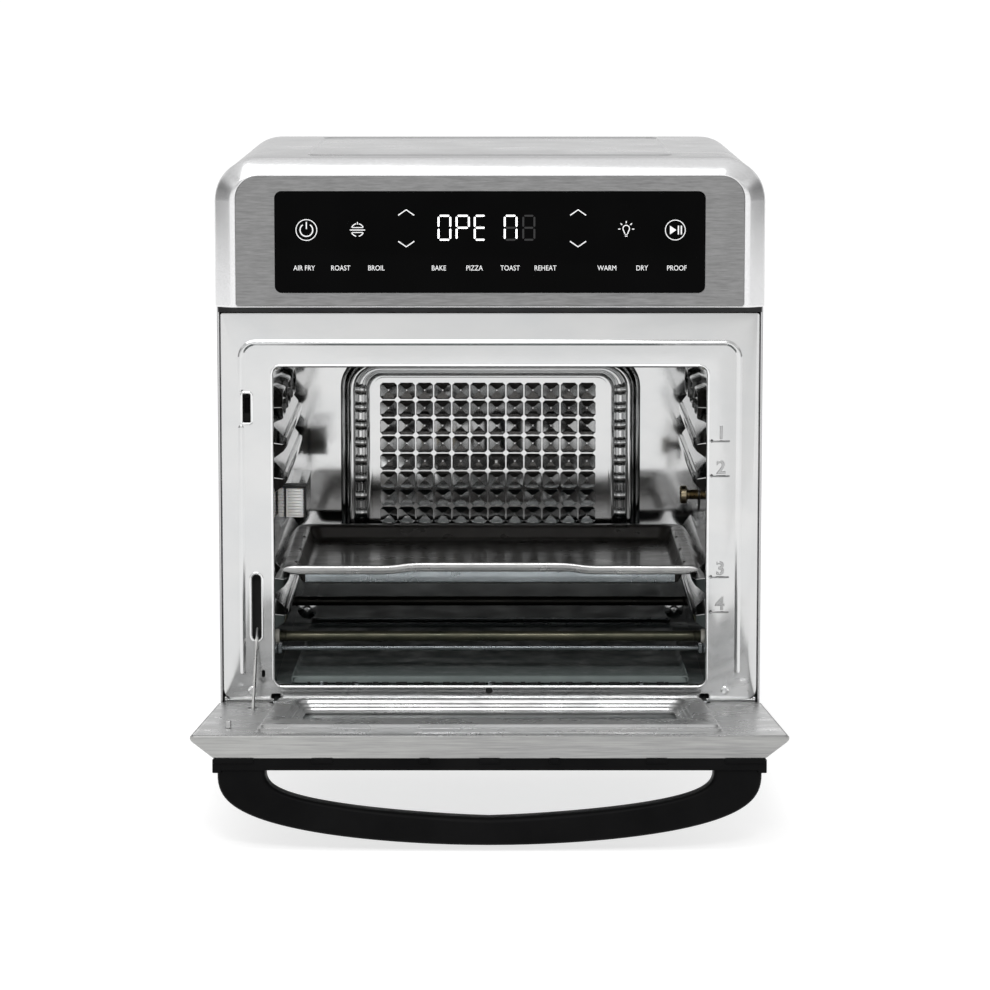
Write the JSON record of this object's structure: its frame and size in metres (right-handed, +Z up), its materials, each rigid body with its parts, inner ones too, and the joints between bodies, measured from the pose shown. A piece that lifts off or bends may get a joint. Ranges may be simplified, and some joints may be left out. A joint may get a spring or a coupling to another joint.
{
  "type": "toaster oven",
  "caption": "Countertop air-fryer toaster oven with a drop-down glazed door, bow handle, touch control panel, racked steel cavity, baking tray and convection fan.",
  "frame": {"origin": "centre of the bounding box with the door open, at counter level under the feet", "axes": "+X to the right as one faces the oven, +Y towards its back, +Z up"},
  "size_m": [0.3408, 0.5564, 0.3811],
  "materials": {
    "polished_steel": "mirror-polished stainless steel",
    "brushed_steel": "brushed stainless steel",
    "satin_silver": "satin silver paint on steel",
    "zinc_sheet": "zinc-coated steel sheet",
    "black_plastic": "satin black moulded plastic",
    "black_glass": "black touch glass",
    "clear_glass": "clear tempered glass",
    "lamp_glass": "ribbed cream glass",
    "dark_enamel": "dark non-stick enamel",
    "heater_steel": "heat-tinted sheath",
    "dark_steel": "dark coated steel",
    "motor_steel": "plain steel",
    "brass": "zinc-plated brass",
    "circuit_board": "circuit board with solder mask",
    "white_ceramic": "white ceramic"
  },
  "bodies": {
    "oven": {"outer_wrap": "satin_silver", "rear_cover": "zinc_sheet", "base_plate": "zinc_sheet", "foot_front_left": "black_plastic", "foot_front_right": "black_plastic", "foot_rear_left": "black_plastic", "foot_rear_right": "black_plastic", "front_frame": "polished_steel", "hinge_bracket_left": "dark_steel", "hinge_bracket_right": "dark_steel", "cavity_wall_left": "polished_steel", "cavity_wall_right": "polished_steel", "cavity_floor": "polished_steel", "cavity_roof": "polished_steel", "cavity_back": "polished_steel", "rack_guide_left": "polished_steel", "rack_guide_right": "polished_steel", "fan_cover": "polished_steel", "motor_bracket": "zinc_sheet", "fan_motor": "motor_steel", "heater_lower_front": "heater_steel", "heater_lower_rear": "heater_steel", "heater_upper_front": "heater_steel", "heater_upper_rear": "heater_steel", "lamp_cover": "lamp_glass", "lamp_cap": "dark_steel", "lamp_bulb": "clear_glass", "lamp_holder": "white_ceramic", "rotisserie_motor": "motor_steel", "control_bezel": "satin_silver", "control_plate": "brushed_steel", "control_glass": "black_glass", "display_module": "black_plastic", "control_board": "circuit_board", "panel_bracket": "dark_steel", "heat_shield": "zinc_sheet", "power_board": "circuit_board", "cord_gland": "black_plastic", "door_switch": "black_plastic", "door_spring": "motor_steel", "spring_post": "motor_steel"},
    "door": {"door_skin": "brushed_steel", "door_liner": "polished_steel", "inner_glass": "clear_glass", "glass_spacer": "dark_steel", "outer_glass": "clear_glass", "door_hinge_left": "dark_steel", "door_hinge_right": "dark_steel", "rod_anchor": "dark_steel", "door_striker": "black_plastic", "door_strip": "black_plastic", "handle": "black_plastic"},
    "counterbalance_rod": {"spring_rod": "motor_steel"},
    "oven_tray": {"baking_tray": "dark_enamel"},
    "drip_tray": {"crumb_tray": "dark_steel"},
    "fan_rotor": {"convection_fan": "motor_steel", "motor_shaft": "motor_steel", "cooling_fan": "motor_steel"},
    "spit_drive": {"rotisserie_hub": "brass"},
    "plunger": {"switch_plunger": "black_plastic"}
  },
  "joints": [
    {"name": "door_hinge", "type": "hinge", "parent": "oven", "child": "door", "pos_m": [0, -0.0399, 0.0375], "axis": [-1, 0, 0], "range_deg": [0, 83.7], "deforming": ["door_spring"]},
    {"name": "rod_pivot", "type": "hinge", "parent": "door", "child": "counterbalance_rod", "pos_m": [-0.1463, -0.0827, 0.04172], "axis": [1, 0, 0], "range_deg": [0, 83.7]},
    {"name": "tray_slide", "type": "slide", "parent": "oven", "child": "oven_tray", "axis": [0, 1, 0], "range_m": [-0.15, 0]},
    {"name": "crumb_slide", "type": "slide", "parent": "oven", "child": "drip_tray", "axis": [0, 0.9998, -0.0209], "range_m": [-0.06, 0]},
    {"name": "fan_spin", "type": "hinge", "parent": "oven", "child": "fan_rotor", "pos_m": [0, 0.2223, 0.1585], "axis": [0, 1, 0], "continuous": true},
    {"name": "spit_spin", "type": "hinge", "parent": "oven", "child": "spit_drive", "pos_m": [0.1365, 0.0893, 0.1545], "axis": [1, 0, 0], "continuous": true},
    {"name": "plunger_slide", "type": "slide", "parent": "oven", "child": "plunger", "axis": [0, 1, 0], "range_m": [0, 0.0015], "stiffness_N_per_m": 300, "springref_m": -0.002}
  ],
  "couplings": [
    {"joint": "rod_pivot", "follows": "door_hinge", "ratio": 1}
  ]
}
